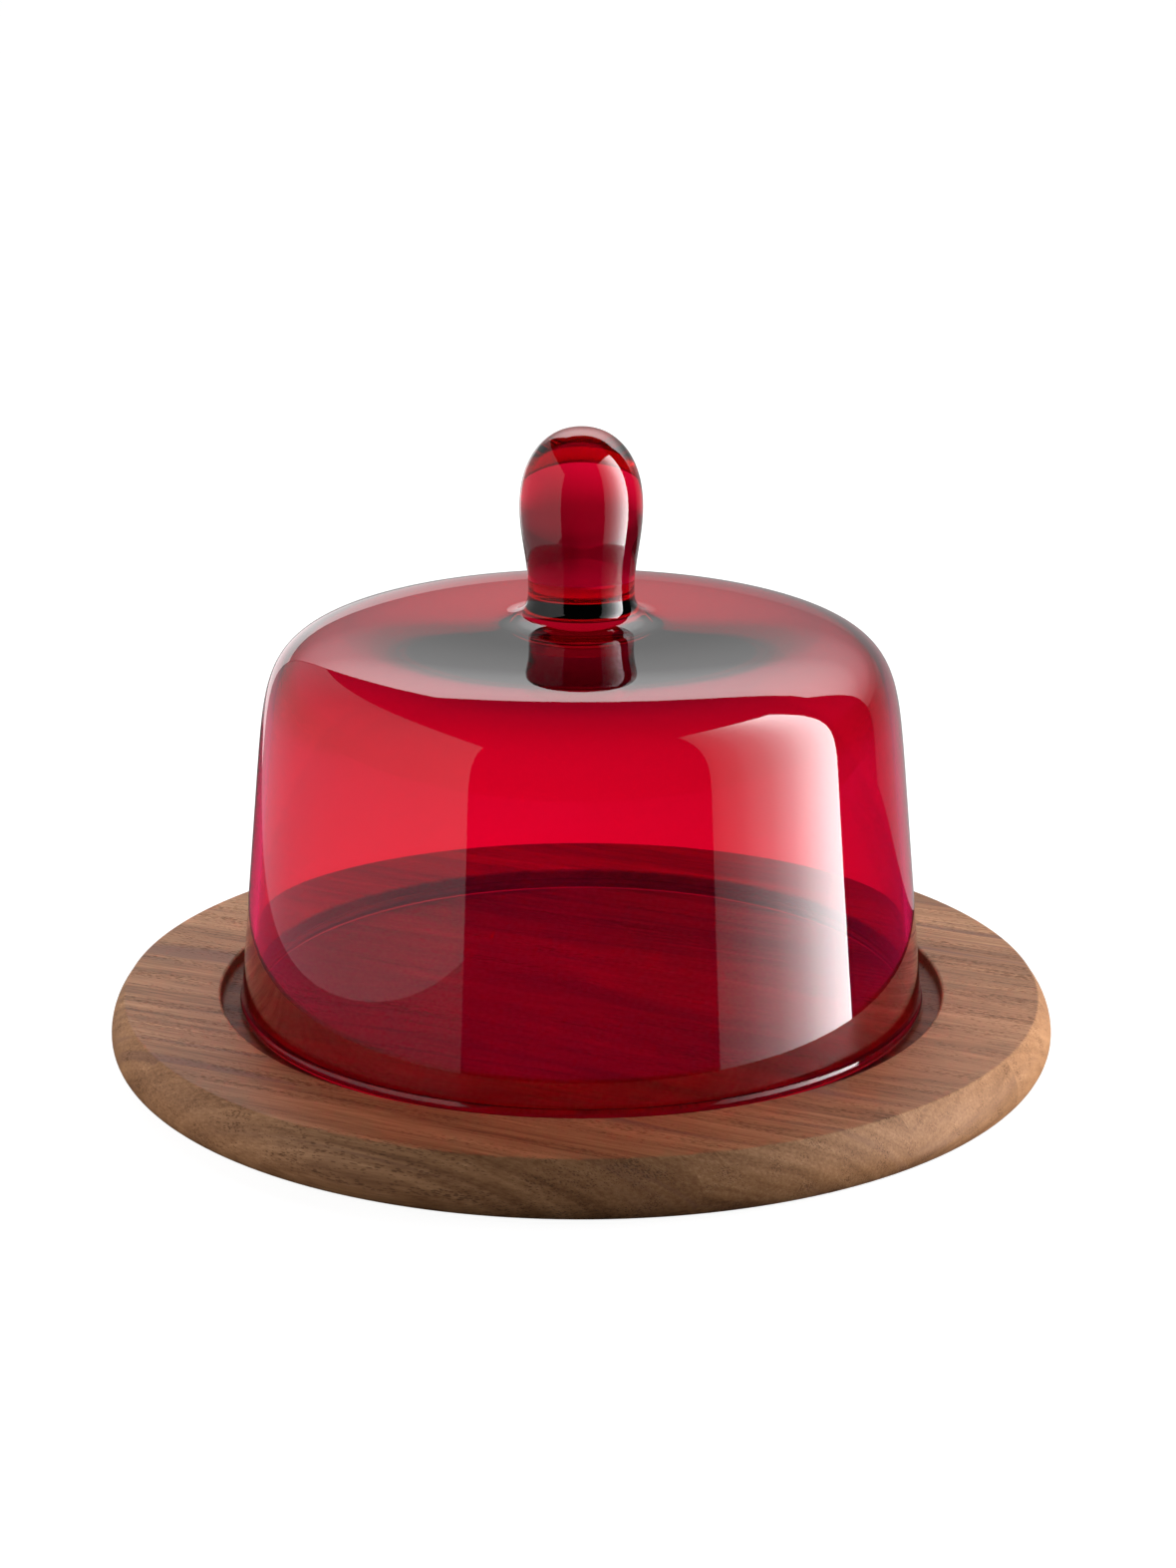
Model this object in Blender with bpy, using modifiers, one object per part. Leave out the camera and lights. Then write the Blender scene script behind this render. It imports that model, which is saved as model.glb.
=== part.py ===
"""Cheese dome: a red glass bell with a blown-on glass knob, standing in the round pocket of a wooden board.

The board is glued up from parallel staves. The bell and its knob lift off the board together.
Metres, +Z up. The origin is the centre of the board's underside, and +X runs along the grain of the staves.
"""

import math

import bmesh
import bpy

MM = 0.001
GAP = 0.3 * MM

# Board
BOARD_RADIUS = 140 * MM
BOARD_THICKNESS = 18 * MM
BOARD_FOOT_RADIUS = 133 * MM
BOARD_WIDEST_HEIGHT = 7.5 * MM
BOARD_UPPER_ARC_RADIUS = 14.6 * MM
ARRIS_RADIUS = 1 * MM
POCKET_RADIUS = 107.5 * MM
POCKET_DEPTH = 4.5 * MM
POCKET_FILLET = 1.2 * MM
STAVE_WIDTH = 51 * MM
STAVE_JOINTS = 5
FIRST_JOINT = -110 * MM
BOARD_STEPS = 96

# Bell
BELL_BASE = BOARD_THICKNESS - POCKET_DEPTH + GAP
BELL_HEIGHT = 116.4 * MM
BELL_RADIUS = 101.6 * MM
BELL_TAPER = 0.092
SHOULDER_SHARPNESS = 14.8
CROWN_FLATNESS = 4.9
WALL = 3 * MM
CROWN_EXTRA = 3.6 * MM
CROWN_THICK_RADIUS = 82 * MM
BELL_STEPS = 64
BELL_POINTS = 15

# Knob
KNOB_BASE = BELL_BASE + BELL_HEIGHT + GAP
KNOB_HEIGHT = 55.4 * MM
BULGE_RADIUS = 17.9 * MM
BULGE_HEIGHT = 32.5 * MM
KNOB_ROUNDNESS = 2.2
WAIST_RADIUS = 15.45 * MM
WAIST_HEIGHT = 8.5 * MM
FOOT_FILLET = 6 * MM
FOOT_EDGE = 0.5 * MM
KNOB_STEPS = 36

WOODS = (
    (0.20, 0.115, 0.062),
    (0.31, 0.165, 0.088),
    (0.27, 0.140, 0.080),
    (0.33, 0.180, 0.100),
    (0.28, 0.150, 0.082),
    (0.30, 0.160, 0.090),
)
RED_GLASS = (0.62, 0.0, 0.02)


def clear_scene():
    for obj in list(bpy.data.objects):
        bpy.data.objects.remove(obj)


def new_collection(name):
    collection = bpy.data.collections.new(name)
    bpy.context.scene.collection.children.link(collection)
    return collection


def plain_material(name, color, roughness):
    material = bpy.data.materials.new(name)
    material.use_nodes = True
    shader = material.node_tree.nodes["Principled BSDF"]
    shader.inputs["Base Color"].default_value = (*color, 1)
    shader.inputs["Roughness"].default_value = roughness
    return material


def glass_material(name, color):
    material = plain_material(name, color, 0.0)
    shader = material.node_tree.nodes["Principled BSDF"]
    shader.inputs["Transmission Weight"].default_value = 1.0
    shader.inputs["IOR"].default_value = 1.5
    return material


def profile_mesh(name, outline):
    """An open chain of edges through the outline's (radius, height) points, in the XZ plane."""
    mesh = bpy.data.meshes.new(name)
    bm = bmesh.new()
    points = [bm.verts.new((radius, 0, height)) for radius, height in outline]
    for start, end in zip(points, points[1:]):
        bm.edges.new((start, end))
    bm.to_mesh(mesh)
    bm.free()
    return mesh


def turned(name, outline, steps, collection, material):
    """A solid of revolution about Z. The outline starts and ends on the axis and runs down the outer side."""
    obj = bpy.data.objects.new(name, profile_mesh(name, outline))
    collection.objects.link(obj)
    obj.data.materials.append(material)
    screw = obj.modifiers.new("turn", "SCREW")
    screw.axis = "Z"
    screw.angle = math.tau
    screw.steps = steps
    screw.render_steps = steps
    screw.use_merge_vertices = True
    screw.merge_threshold = 0.00001
    screw.use_smooth_shade = True
    return obj


def arc(center, radii, start, end, points):
    """Points along an ellipse's arc from one angle to another, both in degrees, ends included."""
    found = []
    for index in range(points):
        angle = math.radians(start + (end - start) * index / (points - 1))
        found.append((center[0] + radii[0] * math.cos(angle), center[1] + radii[1] * math.sin(angle)))
    return found


def board_outline():
    top = BOARD_THICKNESS
    floor = top - POCKET_DEPTH
    rim_top = top - ARRIS_RADIUS
    upper_angle = math.degrees(math.asin((rim_top - BOARD_WIDEST_HEIGHT) / BOARD_UPPER_ARC_RADIUS))
    upper_center = (BOARD_RADIUS - BOARD_UPPER_ARC_RADIUS, BOARD_WIDEST_HEIGHT)
    upper = arc(upper_center, (BOARD_UPPER_ARC_RADIUS,) * 2, upper_angle, 0, 5)
    lower_radii = (BOARD_RADIUS - BOARD_FOOT_RADIUS, BOARD_WIDEST_HEIGHT)
    lower = arc((BOARD_FOOT_RADIUS, BOARD_WIDEST_HEIGHT), lower_radii, 0, -90, 6)
    arris_radii = (ARRIS_RADIUS,) * 2
    outer_arris = arc((upper[0][0] - ARRIS_RADIUS, rim_top), arris_radii, 90, upper_angle, 3)
    inner_arris = arc((POCKET_RADIUS + ARRIS_RADIUS, rim_top), arris_radii, 180, 90, 4)
    fillet_center = (POCKET_RADIUS - POCKET_FILLET, floor + POCKET_FILLET)
    fillet = arc(fillet_center, (POCKET_FILLET,) * 2, -90, 0, 4)
    return [(0, floor)] + fillet + inner_arris + outer_arris[:-1] + upper + lower[1:] + [(0, 0)]


def board_staves(parts, cutters):
    """The turned board cut into parallel staves, with a thin glue line between neighbours."""
    outline = board_outline()
    edges = [-BOARD_RADIUS - STAVE_WIDTH]
    edges += [FIRST_JOINT + index * STAVE_WIDTH for index in range(STAVE_JOINTS)]
    edges += [BOARD_RADIUS + STAVE_WIDTH]
    for index, (near, far) in enumerate(zip(edges, edges[1:])):
        number = index + 1
        wood = plain_material(f"stave_{number}_wood", WOODS[index], 0.45)
        stave = turned(f"board_stave_{number}", outline, BOARD_STEPS, parts, wood)
        cutter = box_between(f"stave_{number}_cutter", near + GAP / 2, far - GAP / 2, cutters)
        cut = stave.modifiers.new("stave", "BOOLEAN")
        cut.operation = "INTERSECT"
        cut.solver = "EXACT"
        cut.object = cutter


def box_between(name, near, far, cutters):
    """A wide box from one Y to another, taller and longer than the board."""
    mesh = bpy.data.meshes.new(name)
    bm = bmesh.new()
    bmesh.ops.create_cube(bm, size=1)
    bmesh.ops.scale(bm, vec=(4 * BOARD_RADIUS, far - near, 4 * BOARD_THICKNESS), verts=bm.verts)
    bm.to_mesh(mesh)
    bm.free()
    box = bpy.data.objects.new(name, mesh)
    box.location = (0, (near + far) / 2, 0)
    box.hide_render = True
    box.display_type = "WIRE"
    cutters.objects.link(box)
    return box


def bell_outer_side():
    """From the crown's centre to the wall: a tapering wall that rolls through the shoulder into a flat crown."""
    side = [(0, BELL_HEIGHT)]
    for index in range(1, BELL_POINTS):
        angle = math.pi / 2 * (1 - index / BELL_POINTS)
        height = BELL_HEIGHT * math.sin(angle) ** (2 / SHOULDER_SHARPNESS)
        wall = BELL_RADIUS - BELL_TAPER * height
        side.append((wall * math.cos(angle) ** (2 / CROWN_FLATNESS), height))
    return side


def inward(points):
    """The same chain moved square to itself by the wall, which grows from the shoulder to the crown's centre."""
    moved = []
    for index, (radius, height) in enumerate(points):
        before = points[max(index - 1, 0)]
        after = points[min(index + 1, len(points) - 1)]
        run = after[0] - before[0]
        rise = after[1] - before[1]
        length = math.hypot(run, rise)
        share = max(1 - (radius / CROWN_THICK_RADIUS) ** 2, 0)
        wall = WALL + CROWN_EXTRA * share**2
        moved.append((max(radius + wall * rise / length, 0), height - wall * run / length))
    moved[0] = (0, points[0][1] - WALL - CROWN_EXTRA)
    return moved


def bell_outline():
    outer = bell_outer_side()
    inner = inward(outer)
    lip_center = (BELL_RADIUS - WALL / 2, WALL / 2)
    lip = arc(lip_center, (WALL / 2,) * 2, 0, -180, 7)
    return [(radius, height + BELL_BASE) for radius, height in outer + lip + inner[::-1]]


def knob_outline():
    cap_height = KNOB_HEIGHT - BULGE_HEIGHT
    outline = []
    for index in range(10):
        angle = math.pi / 2 * (1 - index / 10)
        radius = BULGE_RADIUS * math.cos(angle) ** (2 / KNOB_ROUNDNESS)
        outline.append((radius, BULGE_HEIGHT + cap_height * math.sin(angle) ** (2 / KNOB_ROUNDNESS)))
    outline[0] = (0, KNOB_HEIGHT)
    middle = (BULGE_RADIUS + WAIST_RADIUS) / 2
    swing = (BULGE_RADIUS - WAIST_RADIUS) / 2
    for index in range(8):
        share = index / 7
        height = BULGE_HEIGHT + (WAIST_HEIGHT - BULGE_HEIGHT) * share
        outline.append((middle + swing * math.cos(math.pi * share), height))
    lowest = math.degrees(math.asin(1 - FOOT_EDGE / FOOT_FILLET))
    fillet_center = (WAIST_RADIUS + FOOT_FILLET, FOOT_FILLET)
    outline += arc(fillet_center, (FOOT_FILLET,) * 2, 180, 180 + lowest, 6)
    outline += [(outline[-1][0], 0), (0, 0)]
    return [(radius, height + KNOB_BASE) for radius, height in outline]


def main():
    clear_scene()
    parts = new_collection("cheese_dome")
    cutters = new_collection("cutters")
    cutters.hide_render = True
    board_staves(parts, cutters)
    turned("glass_bell", bell_outline(), BELL_STEPS, parts, glass_material("bell_glass", RED_GLASS))
    turned("glass_knob", knob_outline(), KNOB_STEPS, parts, glass_material("knob_glass", RED_GLASS))


main()
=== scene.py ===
"""The looks of the cheese dome: a red glass bell with a solid knob, on a round board of staves.

Metres, +Z up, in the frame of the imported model: the origin is the centre of the board's underside,
+Z is the bell's axis, and +X runs along the grain of the staves.
"""

import math

import bmesh
import bpy
from mathutils import Matrix, Vector


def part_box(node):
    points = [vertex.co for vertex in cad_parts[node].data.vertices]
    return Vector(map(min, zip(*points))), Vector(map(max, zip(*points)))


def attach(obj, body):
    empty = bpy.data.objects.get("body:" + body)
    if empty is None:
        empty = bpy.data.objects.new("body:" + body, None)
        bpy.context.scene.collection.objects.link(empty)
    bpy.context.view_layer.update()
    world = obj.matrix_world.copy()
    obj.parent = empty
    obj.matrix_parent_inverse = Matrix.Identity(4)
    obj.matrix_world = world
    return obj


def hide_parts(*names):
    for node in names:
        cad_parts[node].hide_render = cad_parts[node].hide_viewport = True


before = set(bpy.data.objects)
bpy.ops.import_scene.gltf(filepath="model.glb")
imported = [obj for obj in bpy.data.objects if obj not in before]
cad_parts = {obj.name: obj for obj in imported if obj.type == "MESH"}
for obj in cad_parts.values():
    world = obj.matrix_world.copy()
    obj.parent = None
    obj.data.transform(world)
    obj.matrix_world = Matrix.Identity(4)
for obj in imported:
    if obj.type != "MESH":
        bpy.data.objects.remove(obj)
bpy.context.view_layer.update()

MM = 0.001
WELD = 0.001 * MM
SHARP_ANGLE = 35

# Board, as in the frame, with the sizes that its boxes do not give
POCKET_RADIUS = 107.5 * MM
POCKET_DEPTH = 4.5 * MM
POCKET_FILLET = 1.2 * MM
BOARD_FOOT_RADIUS = 133 * MM
BOARD_WIDEST_HEIGHT = 7.5 * MM
BOARD_UPPER_ARC_RADIUS = 14.6 * MM
ARRIS_RADIUS = 1 * MM
GLUE_GAP = 0.02 * MM
BOARD_STEPS = 192
RIM_POINTS = 14
ARRIS_POINTS = 7

# Bell
BELL_TAPER = 0.092
SHOULDER_SHARPNESS = 14.8
CROWN_FLATNESS = 4.9
WALL = 3 * MM
CROWN_EXTRA = 3.6 * MM
CROWN_THICK_RADIUS = 82 * MM
BELL_POINTS = 60
OUTLINE_STEP = 6 * MM
BEAD_RADIUS = 1.95 * MM
BEAD_BLEND = 0.9 * MM
BEAD_POINTS = 29
GLASS_STEPS = 192
GLASS_SHARP_ANGLE = 60

# Knob
BULGE_RADIUS = 17.8 * MM
BULGE_HEIGHT = 32.5 * MM
KNOB_ROUNDNESS = 2.2
WAIST_RADIUS = 15.45 * MM
WAIST_HEIGHT = 8.5 * MM
FOOT_SPREAD = 14 * MM
FOOT_SHARPNESS = 3
FOOT_CLEARANCE = 0.5 * MM
CAP_POINTS = 24
SIDE_POINTS = 18
FOOT_POINTS = 18

# Inputs and output of a Mix node set to colours
MIX_FACTOR, MIX_A, MIX_B, MIX_RESULT = 0, 6, 7, 2


class Number:
    """A shader socket that holds one number, so that sums on it can be written as Python."""

    def __init__(self, recipe, socket):
        self.recipe = recipe
        self.socket = socket

    def math(self, operation, *others):
        return self.recipe.math(operation, self, *others)

    def __add__(self, other):
        return self.math("ADD", other)

    def __radd__(self, other):
        return self.recipe.math("ADD", other, self)

    def __sub__(self, other):
        return self.math("SUBTRACT", other)

    def __rsub__(self, other):
        return self.recipe.math("SUBTRACT", other, self)

    def __mul__(self, other):
        return self.math("MULTIPLY", other)

    def __rmul__(self, other):
        return self.recipe.math("MULTIPLY", other, self)

    def __truediv__(self, other):
        return self.math("DIVIDE", other)

    def __rtruediv__(self, other):
        return self.recipe.math("DIVIDE", other, self)

    def __pow__(self, power):
        return self.math("POWER", power)


class Recipe:
    """The nodes of one material, of the world or of a light."""

    def __init__(self, tree):
        self.tree = tree
        tree.nodes.clear()

    def node(self, kind, settings=None, sockets=None):
        made = self.tree.nodes.new(kind)
        for name, value in (settings or {}).items():
            if name == "stops":
                self.set_stops(made.color_ramp, value)
            else:
                setattr(made, name, value)
        for name, value in (sockets or {}).items():
            self.feed(made.inputs[name], value)
        return made

    def set_stops(self, ramp, stops):
        while len(ramp.elements) < len(stops):
            ramp.elements.new(1)
        for element, (position, color) in zip(ramp.elements, stops):
            element.position = position
            element.color = (*color, 1)

    def feed(self, socket, value):
        if isinstance(value, Number):
            value = value.socket
        if isinstance(value, bpy.types.NodeSocket):
            self.tree.links.new(value, socket)
        elif socket.type == "RGBA":
            socket.default_value = (*value, 1)
        else:
            socket.default_value = value

    def math(self, operation, *values):
        made = self.node("ShaderNodeMath", {"operation": operation}, dict(enumerate(values)))
        return Number(self, made.outputs[0])

    def number(self, socket):
        return Number(self, socket)

    def axes(self, vector):
        """The three numbers of a vector."""
        split = self.node("ShaderNodeSeparateXYZ", None, {0: vector})
        return [Number(self, socket) for socket in split.outputs]

    def joined(self, x, y, z):
        return self.node("ShaderNodeCombineXYZ", None, {0: x, 1: y, 2: z}).outputs[0]

    def mix(self, factor, first, second, blend="MIX"):
        made = self.node(
            "ShaderNodeMix",
            {"data_type": "RGBA", "blend_type": blend},
            {MIX_FACTOR: factor, MIX_A: first, MIX_B: second},
        )
        return made.outputs[MIX_RESULT]

    def ramp(self, stops, value):
        return self.node("ShaderNodeValToRGB", {"stops": stops}, {"Fac": value}).outputs["Color"]

    def placed(self, scale=(1, 1, 1), offset=(0, 0, 0)):
        """Object coordinates, in metres, moved by offset and then multiplied by scale."""
        coordinates = self.node("ShaderNodeTexCoord").outputs["Object"]
        moved = self.node(
            "ShaderNodeVectorMath", {"operation": "ADD"}, {0: coordinates, 1: offset}
        )
        scaled = self.node(
            "ShaderNodeVectorMath", {"operation": "MULTIPLY"}, {0: moved.outputs[0], 1: scale}
        )
        return scaled.outputs[0]

    def noise(self, place, detail=2, roughness=0.5, dimensions="3D"):
        socket = "W" if dimensions == "1D" else "Vector"
        made = self.node(
            "ShaderNodeTexNoise",
            {"noise_dimensions": dimensions},
            {socket: place, "Scale": 1, "Detail": detail, "Roughness": roughness},
        )
        return Number(self, made.outputs["Fac"])

    def bump(self, strength, distance, height):
        sockets = {"Strength": strength, "Distance": distance, "Height": height}
        return self.node("ShaderNodeBump", None, sockets).outputs["Normal"]

    def between(self, value, low, high):
        """0 below low, 1 above high, and smooth between them. Low may be above high."""
        made = self.node(
            "ShaderNodeMapRange",
            {"interpolation_type": "SMOOTHSTEP"},
            {"Value": value, "From Min": low, "From Max": high},
        )
        return Number(self, made.outputs["Result"])

    def principled(self, sockets, volume=None):
        """The shader with these sockets, and the material's output."""
        shader = self.node("ShaderNodeBsdfPrincipled", None, sockets)
        ends = {"Surface": shader.outputs["BSDF"]}
        if volume:
            ends["Volume"] = volume
        self.node("ShaderNodeOutputMaterial", None, ends)


def new_material(name):
    material = bpy.data.materials.new(name)
    material.use_nodes = True
    return material, Recipe(material.node_tree)


# Glass

GLASS_SKIN = (0.80, 0.009, 0.147)
GLASS_BODY = (0.82, 0.083, 0.083)
GLASS_DENSITY = 60
GLASS_IOR = 1.5
RIPPLE_CELLS = (14, 14, 9)
RIPPLE_DEPTH = 0.4 * MM


def red_glass():
    """Clear red all through, with a slightly uneven, blown surface."""
    material, recipe = new_material("red_glass")
    ripple = recipe.noise(recipe.placed(RIPPLE_CELLS), detail=1)
    depth = recipe.node(
        "ShaderNodeVolumeAbsorption", None, {"Color": GLASS_BODY, "Density": GLASS_DENSITY}
    )
    recipe.principled(
        {
            "Base Color": GLASS_SKIN,
            "Roughness": 0.0,
            "IOR": GLASS_IOR,
            "Transmission Weight": 1.0,
            "Normal": recipe.bump(0.15, RIPPLE_DEPTH, ripple),
        },
        depth.outputs["Volume"],
    )
    return material


def arc(center, radii, start, end, points):
    """Points on an ellipse's arc from one angle to another, both in degrees, ends included."""
    found = []
    for index in range(points):
        angle = math.radians(start + (end - start) * index / (points - 1))
        x = center[0] + radii[0] * math.cos(angle)
        found.append((x, center[1] + radii[1] * math.sin(angle)))
    return found


def spun(outline, steps):
    """A bmesh turned about Z from (radius, height) points, closed and facing out."""
    bm = bmesh.new()
    points = [bm.verts.new((radius, 0, height)) for radius, height in outline]
    edges = [bm.edges.new(pair) for pair in zip(points, points[1:])]
    bmesh.ops.spin(
        bm,
        geom=points + edges,
        cent=(0, 0, 0),
        axis=(0, 0, 1),
        angle=math.tau,
        steps=steps,
        use_merge=True,
    )
    bmesh.ops.remove_doubles(bm, verts=bm.verts, dist=WELD)
    bmesh.ops.recalc_face_normals(bm, faces=bm.faces)
    return bm


def finished(name, bm, body, material, sharp=SHARP_ANGLE):
    """The piece made from a bmesh, riding on its body. Edges above the sharp angle stay crisp."""
    mesh = bpy.data.meshes.new(name)
    bm.to_mesh(mesh)
    bm.free()
    mesh.materials.append(material)
    mesh.shade_smooth()
    mesh.set_sharp_from_angle(angle=math.radians(sharp))
    piece = bpy.data.objects.new(name, mesh)
    bpy.context.scene.collection.objects.link(piece)
    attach(piece, body)
    return piece


def filled(outline):
    """The outline with points added in its long stretches, so that shading stays true there."""
    full = [outline[0]]
    for start, end in zip(outline, outline[1:]):
        parts = math.ceil(math.dist(start, end) / OUTLINE_STEP)
        for part in range(1, parts + 1):
            share = part / parts
            x = start[0] + (end[0] - start[0]) * share
            full.append((x, start[1] + (end[1] - start[1]) * share))
    return full


def knob_side(top, base):
    """From the knob's tip down its outer side, and out through its soft foot to the crown."""
    height = top - base
    cap = height - BULGE_HEIGHT
    side = []
    for index in range(CAP_POINTS):
        angle = math.pi / 2 * (1 - index / CAP_POINTS)
        radius = BULGE_RADIUS * math.cos(angle) ** (2 / KNOB_ROUNDNESS)
        side.append((radius, BULGE_HEIGHT + cap * math.sin(angle) ** (2 / KNOB_ROUNDNESS)))
    side[0] = (0, height)
    middle = (BULGE_RADIUS + WAIST_RADIUS) / 2
    swing = (BULGE_RADIUS - WAIST_RADIUS) / 2
    for index in range(SIDE_POINTS):
        share = index / (SIDE_POINTS - 1)
        radius = middle + swing * math.cos(math.pi * share)
        side.append((radius, BULGE_HEIGHT + (WAIST_HEIGHT - BULGE_HEIGHT) * share))
    for index in range(1, FOOT_POINTS + 1):
        angle = math.pi / 2 * index / FOOT_POINTS
        reach = 1 - max(math.cos(angle), 0) ** (2 / FOOT_SHARPNESS)
        drop = 1 - math.sin(angle) ** (2 / FOOT_SHARPNESS)
        side.append((WAIST_RADIUS + FOOT_SPREAD * reach, WAIST_HEIGHT * drop))
    return [(radius, base + z) for radius, z in side]


def bell_side(base, crown, radius):
    """From the lip's outer edge up the wall, through the shoulder and in to the crown's centre."""
    height = crown - base
    side = []
    for index in range(BELL_POINTS + 1):
        angle = math.pi / 2 * index / BELL_POINTS
        z = height * math.sin(angle) ** (2 / SHOULDER_SHARPNESS)
        wall = radius - BELL_TAPER * z
        side.append((wall * math.cos(angle) ** (2 / CROWN_FLATNESS), base + z))
    side[-1] = (0, crown)
    return side


def inside(side):
    """The outer side moved in by the wall, which grows towards the crown's centre."""
    moved = []
    for index, (radius, height) in enumerate(side):
        before = side[max(index - 1, 0)]
        after = side[min(index + 1, len(side) - 1)]
        run = after[0] - before[0]
        rise = after[1] - before[1]
        length = math.hypot(run, rise)
        share = max(1 - (radius / CROWN_THICK_RADIUS) ** 2, 0) ** 2
        wall = WALL + CROWN_EXTRA * share
        moved.append((max(radius - wall * rise / length, 0), height + wall * run / length))
    moved[-1] = (0, side[-1][1] - WALL - CROWN_EXTRA)
    return moved


def lip_side(base, radius):
    """The fire-polished lip: a bead from the outer side of the wall round to its inner side."""
    half_wall = WALL / 2 / math.cos(math.atan(BELL_TAPER))
    bead_middle = radius - BELL_TAPER * BEAD_RADIUS - half_wall
    lean = math.degrees(math.acos(half_wall / BEAD_RADIUS))
    bead_center = (bead_middle, base + BEAD_RADIUS)
    bead = arc(bead_center, (BEAD_RADIUS,) * 2, lean, -180 - lean, BEAD_POINTS)
    top = bead[0][1] + BEAD_BLEND
    wall_middle = radius - BELL_TAPER * (top - base) - half_wall
    return [(wall_middle + half_wall, top)] + bead + [(wall_middle - half_wall, top)]


def glass_dome():
    bell_low, bell_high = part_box("glass_bell")
    knob_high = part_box("glass_knob")[1]
    outer = bell_side(bell_low.z, bell_high.z, bell_high.x)
    knob = knob_side(knob_high.z, bell_high.z)
    lip = lip_side(bell_low.z, bell_high.x)
    foot_radius = knob[-1][0] + FOOT_CLEARANCE
    lip_top = lip[0][1]
    crown = [point for point in outer[::-1] if point[0] > foot_radius and point[1] > lip_top]
    inner = [point for point in inside(outer) if point[1] > lip_top]
    bm = spun(filled(knob + crown + lip + inner), GLASS_STEPS)
    piece = finished("glass_dome", bm, "dome", red_glass(), GLASS_SHARP_ANGLE)
    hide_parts("glass_bell", "glass_knob")


# Wood

STAVES = (
    # tone of the stave; heart of the tree (y, z) in metres from the stave; shift along the log
    (0.90, (-0.120, -0.060), 0.31),
    (0.97, (-0.045, -0.050), 1.73),
    (0.95, (0.030, -0.085), 2.19),
    (1.02, (-0.020, -0.070), 3.57),
    (0.98, (0.140, -0.060), 4.21),
    (1.04, (0.090, -0.080), 5.83),
)

WOOD_SHADES = (
    (0.05, (0.140, 0.058, 0.026)),
    (0.28, (0.240, 0.108, 0.048)),
    (0.50, (0.345, 0.163, 0.076)),
    (0.74, (0.455, 0.228, 0.110)),
    (0.97, (0.580, 0.318, 0.165)),
)
STREAK_SHADE = (0.170, 0.074, 0.052)
PORE_SHADE = (0.060, 0.024, 0.012)
END_SHADE = (0.330, 0.178, 0.088)
# Painted shade: the pocket's floor is darkened and reddened, in place of the shadow of the glass and
# the pocket wall and of red light through the glass
POCKET_PAINTED_SHADE = (0.46, 0.27, 0.22)

# Cells of each pattern in a metre, along the grain, across it and up unless it says otherwise
WANDER_CELLS = (4, 9, 9)
FIBRE_CELLS = (55, 1300, 1300)
PORE_CELLS = (380, 2300, 2300)
CROWD_CELLS = (12, 190, 190)
RING_CELLS = 170
BAND_CELLS = 34
FIGURE_CELLS = (11, 420, 90)  # along, out from the heart, across
STREAK_CELLS = (5, 210, 25)  # along, out from the heart, across
WANDER_REACH = 22 * MM

# How far each pattern moves the wood's shade
RING_SWING, BAND_SWING, FIGURE_SWING, FIBRE_SWING = 0.75, 0.6, 0.8, 1.3
PORE_RELIEF = 0.14 * MM


def place_in_log(recipe, offset):
    """Metres along the grain, across it, and out from the tree's heart, all wandering a little."""
    wander = recipe.node(
        "ShaderNodeTexNoise",
        None,
        {"Vector": recipe.placed(WANDER_CELLS, offset), "Scale": 1, "Detail": 2},
    )
    reach = (0, WANDER_REACH, WANDER_REACH)
    sway = recipe.node(
        "ShaderNodeVectorMath",
        {"operation": "MULTIPLY_ADD"},
        {0: wander.outputs["Color"], 1: reach, 2: recipe.placed(offset=offset)},
    )
    along, across, up = recipe.axes(sway.outputs[0])
    return along, across, (across * across + up * up) ** 0.5


def wood_shade(recipe, place, shift, fibre):
    """How light the wood is, about 0.5: year rings, broad bands, wavy figure and fine fibre."""
    along, across, depth = place
    ring = recipe.noise(depth * RING_CELLS + shift, 4, 0.62, "1D")
    band = recipe.noise(depth * BAND_CELLS + 5 * shift, 1, 0.5, "1D")
    cells = FIGURE_CELLS
    figure_place = recipe.joined(along * cells[0], depth * cells[1], across * cells[2])
    figure = recipe.noise(figure_place, detail=3, roughness=0.6)
    year = (ring - 0.5) * RING_SWING
    broad = (band - 0.5) * BAND_SWING
    return 0.5 + year + broad + (figure - 0.5) * FIGURE_SWING + (fibre - 0.5) * FIBRE_SWING


def streaks(recipe, place):
    """1 in a dark streak and 0 beside it."""
    along, across, depth = place
    cells = STREAK_CELLS
    thin = recipe.joined(along * cells[0] + 3, depth * cells[1], across * cells[2])
    return recipe.between(recipe.noise(thin), 0.56, 0.69)


def pores(recipe, offset):
    """1 in a pore and 0 beside it. Pores crowd in some places and are sparse in others."""
    cells = recipe.node(
        "ShaderNodeTexVoronoi",
        {"feature": "F1"},
        {"Vector": recipe.placed(PORE_CELLS, offset), "Scale": 1, "Randomness": 1},
    )
    size = (recipe.noise(recipe.placed(CROWD_CELLS, offset)) - 0.28) * 1.2
    return recipe.between(recipe.number(cells.outputs["Distance"]), size, size - 0.12)


def pocket_painted_shade_mask(recipe):
    """1 inside the pocket's wall and 0 outside it: where the painted shade of the pocket falls."""
    east, north, _ = recipe.axes(recipe.placed())
    radius = (east * east + north * north) ** 0.5
    return recipe.between(radius, POCKET_RADIUS + 0.3 * MM, POCKET_RADIUS - 0.1 * MM)


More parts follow.
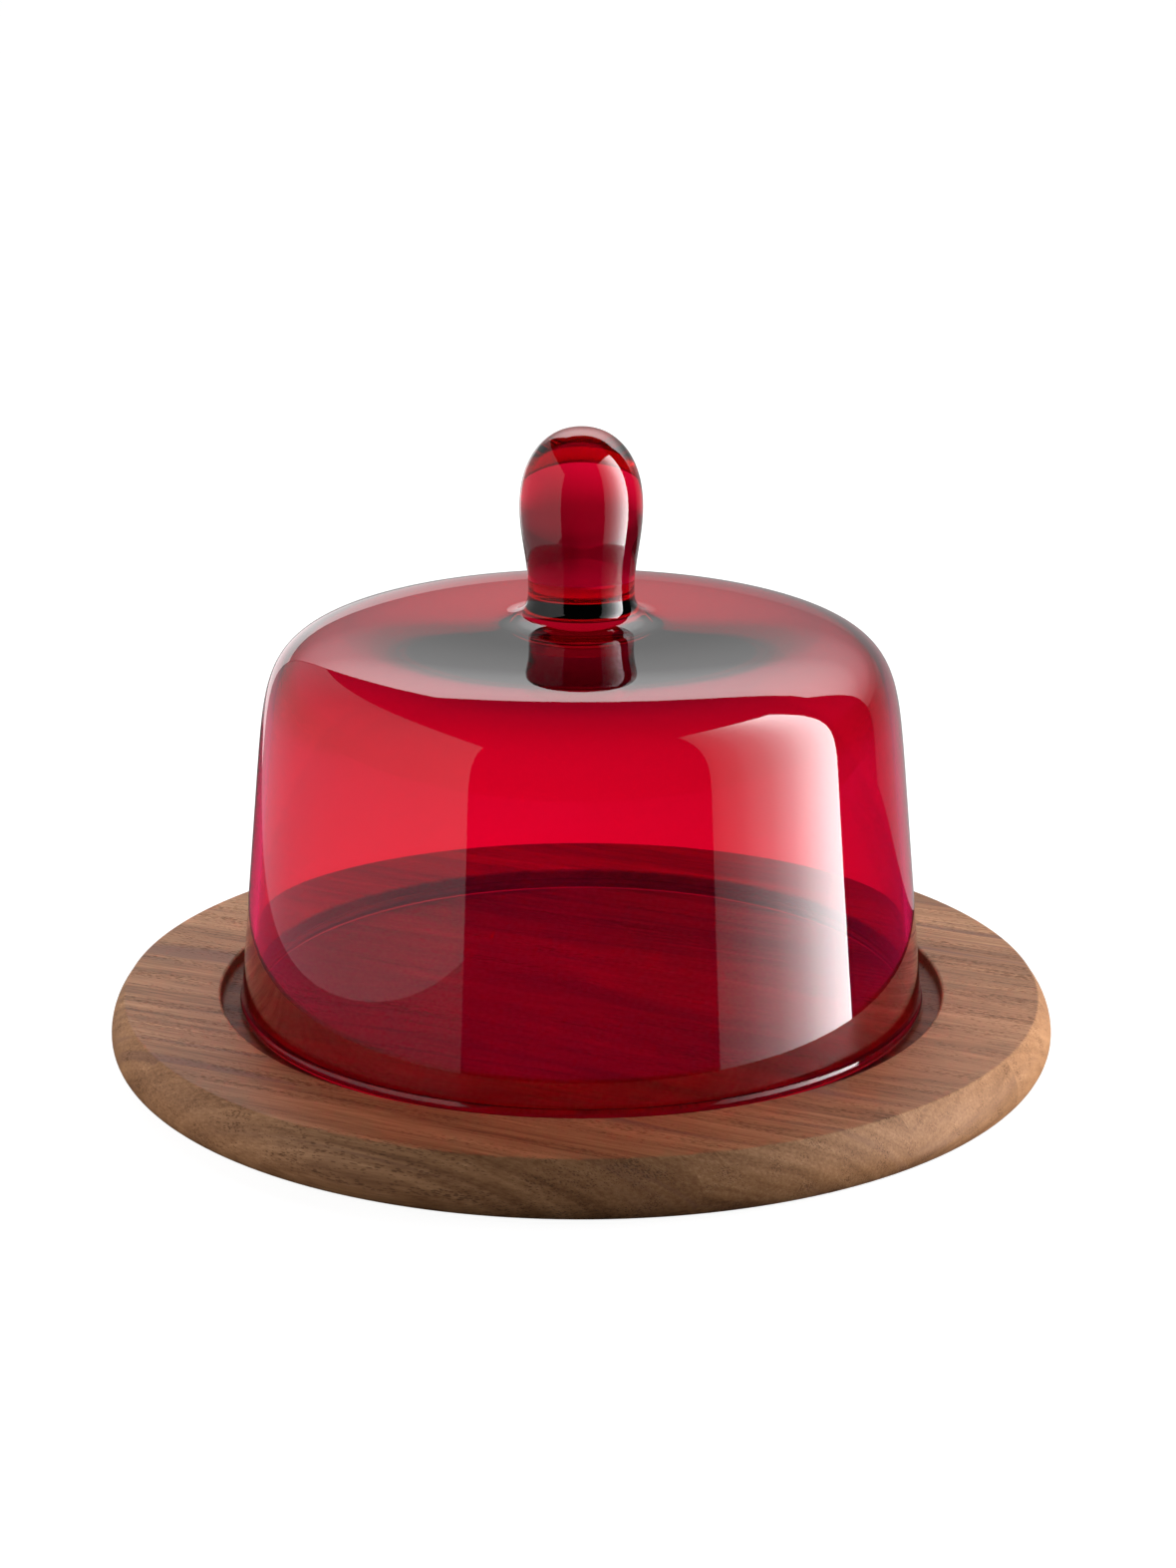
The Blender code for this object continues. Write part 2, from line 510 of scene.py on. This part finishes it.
def oiled_wood(number):
    tone, heart, shift = STAVES[number - 1]
    material, recipe = new_material(f"oiled_wood_{number}")
    low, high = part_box(f"board_stave_{number}")
    center = (low.y + high.y) / 2
    offset = (shift, -center - heart[0], -heart[1])
    place = place_in_log(recipe, offset)
    fibre = recipe.noise(recipe.placed(FIBRE_CELLS, offset), detail=4, roughness=0.7)
    streak = streaks(recipe, place)
    pore = pores(recipe, offset)
    normal = recipe.node("ShaderNodeNewGeometry").outputs["Normal"]
    end_grain = recipe.axes(normal)[0] ** 2
    color = recipe.ramp(WOOD_SHADES, wood_shade(recipe, place, shift, fibre) * tone)
    color = recipe.mix(streak * (0.7 - 0.45 * end_grain), color, STREAK_SHADE)
    color = recipe.mix(end_grain * 0.4, color, END_SHADE)
    color = recipe.mix(pore * 0.56, color, PORE_SHADE)
    # Painted shade: the wood inside the pocket is darkened and reddened
    pocket_painted_shade = recipe.mix(1.0, color, POCKET_PAINTED_SHADE, "MULTIPLY")
    color = recipe.mix(pocket_painted_shade_mask(recipe), color, pocket_painted_shade)
    recipe.principled(
        {
            "Base Color": color,
            "Roughness": 0.38 + 0.16 * fibre + 0.2 * pore,
            "Specular IOR Level": 0.14,
            "Normal": recipe.bump(0.7, PORE_RELIEF, fibre * 0.45 - pore),
        }
    )
    return material


def board_outline(radius, thickness):
    """From the middle of the pocket's floor, over the rim and under it to the middle below."""
    floor = thickness - POCKET_DEPTH
    rim_top = thickness - ARRIS_RADIUS
    upper_rise = (rim_top - BOARD_WIDEST_HEIGHT) / BOARD_UPPER_ARC_RADIUS
    upper_angle = math.degrees(math.asin(upper_rise))
    upper_center = (radius - BOARD_UPPER_ARC_RADIUS, BOARD_WIDEST_HEIGHT)
    upper = arc(upper_center, (BOARD_UPPER_ARC_RADIUS,) * 2, upper_angle, 0, RIM_POINTS)
    lower_center = (BOARD_FOOT_RADIUS, BOARD_WIDEST_HEIGHT)
    lower_radii = (radius - BOARD_FOOT_RADIUS, BOARD_WIDEST_HEIGHT)
    lower = arc(lower_center, lower_radii, 0, -90, RIM_POINTS)
    arris_radii = (ARRIS_RADIUS,) * 2
    outer_center = (upper[0][0] - ARRIS_RADIUS, rim_top)
    outer_arris = arc(outer_center, arris_radii, 90, upper_angle, ARRIS_POINTS)
    inner_arris = arc((POCKET_RADIUS + ARRIS_RADIUS, rim_top), arris_radii, 180, 90, ARRIS_POINTS)
    fillet_center = (POCKET_RADIUS - POCKET_FILLET, floor + POCKET_FILLET)
    fillet = arc(fillet_center, (POCKET_FILLET,) * 2, -90, 0, ARRIS_POINTS)
    top = fillet + inner_arris + outer_arris[:-1]
    return [(0, floor)] + top + upper + lower[1:] + [(0, 0)]


def cut_away(bm, height, keep_above):
    """Cuts the board by the plane Y = height, drops one side and closes the cut."""
    cut = bmesh.ops.bisect_plane(
        bm,
        geom=bm.verts[:] + bm.edges[:] + bm.faces[:],
        plane_co=(0, height, 0),
        plane_no=(0, 1, 0),
        clear_outer=not keep_above,
        clear_inner=keep_above,
    )
    edges = [item for item in cut["geom_cut"] if isinstance(item, bmesh.types.BMEdge)]
    bmesh.ops.holes_fill(bm, edges=edges, sides=0)


def board_staves():
    names = sorted(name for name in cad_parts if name.startswith("board_stave_"))
    boxes = [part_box(name) for name in names]
    radius = max(high.x for low, high in boxes)
    outline = board_outline(radius, boxes[0][1].z)
    for index, name in enumerate(names):
        number = index + 1
        bm = spun(outline, BOARD_STEPS)
        if index > 0:
            joint = (boxes[index - 1][1].y + boxes[index][0].y) / 2
            cut_away(bm, joint + GLUE_GAP / 2, True)
        if index < len(names) - 1:
            joint = (boxes[index][1].y + boxes[index + 1][0].y) / 2
            cut_away(bm, joint - GLUE_GAP / 2, False)
        bmesh.ops.recalc_face_normals(bm, faces=bm.faces)
        wood = oiled_wood(number)
        piece = finished(f"stave_{number}", bm, "board", wood)
        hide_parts(name)


# Studio

VIEW_AZIMUTH = math.radians(25)
CAMERA_DISTANCE = 1.05
CAMERA_ELEVATION = math.radians(21.06)
CAMERA_PITCH = math.radians(16.91)
CAMERA_LENS = 106.43
CAMERA_SHIFT = 0.0057
SENSOR_WIDTH = 36

# Strengths of the world: in a glossy reflection, as light on the wood, and as the window
# behind, whose light reaches the wood through the glass
REFLECTED_SKY = 0.015
SKY_LIGHT = 0.02
WINDOW_LIGHT = 20

# Floor: its glow as seen, its glow through the glass, and the sizes of floor and glossy top
FLOOR_GLOW = 0.93
FLOOR_GLOW_THROUGH = 1.18
FLOOR_STRENGTH = 1.2
FLOOR_REACH = 20
TABLE_LOW, TABLE_HIGH = (-0.24, -2), (0.1, 2)
TABLE_DROP = 0.1 * MM

# (share, factor) stops that shade the panels of light
PLAIN = ((0, 1), (1, 1))
LEFT_SHADES = ((0, 0.5), (0.45, 0.55), (0.7, 0.9), (1, 1))
RIGHT_SHADES = (
    (0, 0.043), (0.2, 0.093), (0.4, 0.21), (0.55, 0.39), (0.7, 0.67), (0.85, 0.9), (1, 1),
)
BACK_SHADES = (
    (0, 0.07), (0.08, 0.1), (0.15, 0.17), (0.25, 0.26), (0.35, 0.43), (0.5, 0.63), (0.7, 0.84),
    (1, 1),
)
LOW_SHADES = ((0, 0.08), (0.2, 0.16), (0.43, 0.32), (0.72, 0.32), (0.86, 1), (1, 1))


def turned_place(x, y, z):
    """A place given from the camera's side (x to the right, y away), in the object's frame."""
    return Matrix.Rotation(VIEW_AZIMUTH, 3, "Z") @ Vector((x, y, z))


def reach(axes, x, y):
    """How far a point lies towards (x, y), a direction given from the camera's side."""
    way = turned_place(x, y, 0)
    return axes[0] * way.x + axes[1] * way.y


def beside(side, distance, height, shift=0):
    """A place at a side, in degrees from the camera's, moved anticlockwise from above by shift."""
    turn = math.radians(side)
    x = distance * math.sin(turn) + shift * math.cos(turn)
    y = shift * math.sin(turn) - distance * math.cos(turn)
    return x, y, height


def set_camera():
    data = bpy.data.cameras.new("camera")
    data.lens = CAMERA_LENS
    data.sensor_width = SENSOR_WIDTH
    data.sensor_fit = "HORIZONTAL"
    data.shift_x = CAMERA_SHIFT
    camera = bpy.data.objects.new("camera", data)
    back = CAMERA_DISTANCE * math.cos(CAMERA_ELEVATION)
    camera.location = turned_place(0, -back, CAMERA_DISTANCE * math.sin(CAMERA_ELEVATION))
    camera.rotation_euler = (math.pi / 2 - CAMERA_PITCH, 0, VIEW_AZIMUTH)
    bpy.context.scene.collection.objects.link(camera)
    bpy.context.scene.camera = camera


def panel(name, center, size, side, brightness, across=PLAIN, upward=PLAIN, wood=True, gloss=True):
    """An upright soft light that stands at a side, in degrees from the camera's, and faces in.

    Stops shade it across, anticlockwise from above, and up. It may skip the wood or the gloss.
    """
    data = bpy.data.lights.new(name, "AREA")
    data.shape = "RECTANGLE"
    data.size, data.size_y = size
    data.energy = brightness * math.pi * size[0] * size[1]
    data.use_nodes = True
    recipe = Recipe(data.node_tree)
    x, y, _ = recipe.axes(recipe.node("ShaderNodeNewGeometry").outputs["Parametric"])
    shades = []
    for place, stops in ((x, across), (y, upward)):
        shades.append(recipe.ramp([(at, (factor,) * 3) for at, factor in stops], place))
    shade = recipe.mix(1.0, shades[0], shades[1], "MULTIPLY")
    emission = recipe.node("ShaderNodeEmission", None, {"Color": shade, "Strength": 1.0})
    recipe.node("ShaderNodeOutputLight", None, {"Surface": emission.outputs[0]})
    light = bpy.data.objects.new(name, data)
    light.location = turned_place(*center)
    light.rotation_euler = (math.pi / 2, 0, VIEW_AZIMUTH + math.radians(side))
    light.visible_camera = False
    light.visible_diffuse = wood
    light.visible_transmission = False
    light.visible_glossy = gloss
    bpy.context.scene.collection.objects.link(light)


def set_world():
    """White behind, a soft sky through the glass, and a window whose light colours the wood."""
    world = bpy.data.worlds.new("studio")
    world.use_nodes = True
    recipe = Recipe(world.node_tree)
    path = recipe.node("ShaderNodeLightPath").outputs
    seen = recipe.number(path["Is Camera Ray"])
    through = recipe.number(path["Is Transmission Ray"])
    glossy = recipe.number(path["Is Glossy Ray"])
    lighting = recipe.math("MINIMUM", path["Diffuse Depth"], 1)
    axes = recipe.axes(recipe.node("ShaderNodeTexCoord").outputs["Generated"])
    height = axes[2]
    depth = reach(axes, 0, 1)
    above = recipe.between(height, -0.05, 0.1)
    behind = recipe.between(depth, -0.25, 0.35)
    low_sky = recipe.between(height, 0.3, 0.12)
    sky = 0.26 + 0.42 * behind - (0.16 + 0.42 * behind) * low_sky
    band = recipe.between(height, 0.16, 0.26) * recipe.between(height, 0.68, 0.58)
    window = band * recipe.between(depth, 0.2, 0.45)
    looked = seen + through * sky + (1 - seen - through) * glossy * REFLECTED_SKY
    light = above * SKY_LIGHT + through * window * WINDOW_LIGHT
    strength = looked * (1 - lighting) + lighting * light
    background = recipe.node(
        "ShaderNodeBackground", None, {"Color": (1, 1, 1), "Strength": strength}
    )
    recipe.node("ShaderNodeOutputWorld", None, {"Surface": background.outputs[0]})
    bpy.context.scene.world = world


def ground(name, low, high, material):
    """A flat sheet at height 0 between two corners given from the camera's side."""
    bm = bmesh.new()
    bmesh.ops.create_grid(bm, x_segments=1, y_segments=1, size=0.5)
    bmesh.ops.scale(bm, vec=(high[0] - low[0], high[1] - low[1], 1), verts=bm.verts)
    middle = ((low[0] + high[0]) / 2, (low[1] + high[1]) / 2, 0)
    bmesh.ops.translate(bm, vec=middle, verts=bm.verts)
    turn = Matrix.Rotation(VIEW_AZIMUTH, 3, "Z")
    bmesh.ops.rotate(bm, cent=(0, 0, 0), matrix=turn, verts=bm.verts)
    mesh = bpy.data.meshes.new(name)
    bm.to_mesh(mesh)
    bm.free()
    mesh.materials.append(material)
    made = bpy.data.objects.new(name, mesh)
    bpy.context.scene.collection.objects.link(made)
    return made


def set_floor():
    """A pale floor that glows. Through the glass its glow darkens with distance and to the right:
    painted shade, where the floor's light falls off.
    """
    material, recipe = new_material("pale_floor")
    through = recipe.number(recipe.node("ShaderNodeLightPath").outputs["Is Transmission Ray"])
    axes = recipe.axes(recipe.placed())
    depth = reach(axes, 0, 1)
    side = reach(axes, 1, 0)
    # Painted shade: through the glass the floor's glow falls off with distance and to the right
    fade = 1 - recipe.between(depth, 0.08, 0.7) * 0.82
    dim = fade * (1 - recipe.between(side, -0.05, 0.2) * 0.35)
    far = recipe.between((depth * depth + side * side) ** 0.5, 0.5, 1.6)
    plain = FLOOR_GLOW + (1 - FLOOR_GLOW) * far
    glow = plain * (1 - through) + dim * FLOOR_GLOW_THROUGH * through
    recipe.principled(
        {
            "Base Color": (0.2, 0.2, 0.2),
            "Roughness": 0.9,
            "Emission Color": recipe.mix(glow / FLOOR_STRENGTH, (0, 0, 0), (1, 1, 1)),
            "Emission Strength": FLOOR_STRENGTH,
        }
    )
    floor = ground("floor", (-FLOOR_REACH,) * 2, (FLOOR_REACH,) * 2, material)
    floor.visible_glossy = False
    floor.visible_diffuse = False


def set_table_gloss():
    """A dark glossy sheet that only reflections meet."""
    material, recipe = new_material("table_gloss")
    recipe.principled({"Base Color": (0.01, 0.01, 0.01), "Roughness": 0.0, "IOR": 1.5})
    table = ground("table_top", TABLE_LOW, TABLE_HIGH, material)
    table.location.z = -TABLE_DROP
    table.visible_camera = False
    table.visible_diffuse = False
    table.visible_transmission = False
    table.visible_shadow = False


def set_lights():
    panel("left_panel", (-1.0, 0.3, 0.3), (3.15, 1.8), -90, 0.85, LEFT_SHADES)
    panel("left_fill", (-0.95, -0.12, 0.25), (1.2, 0.5), -83, 2.3, gloss=False)
    panel("right_panel", beside(68, 1, 0.33, 0.05), (1.01, 1.96), 68, 14, RIGHT_SHADES, wood=False)
    panel("right_fill", beside(84, 0.62, 0.07), (0.6, 0.32), 84, 12, gloss=False)
    panel("back_panel", (0.85, 1.9, 1.65), (3.7, 2.5), 180, 4.6, upward=BACK_SHADES)
    panel("back_low", (0.85, 1.9, -0.1), (3.7, 1.0), 180, 1.3, LOW_SHADES)
    panel("back_light", (-0.25, 1.5, 1.4), (2.2, 1.6), 180, 2.5, gloss=False)


glass_dome()
board_staves()
set_world()
set_floor()
set_table_gloss()
set_lights()
set_camera()
bpy.context.scene.view_settings.view_transform = "Standard"
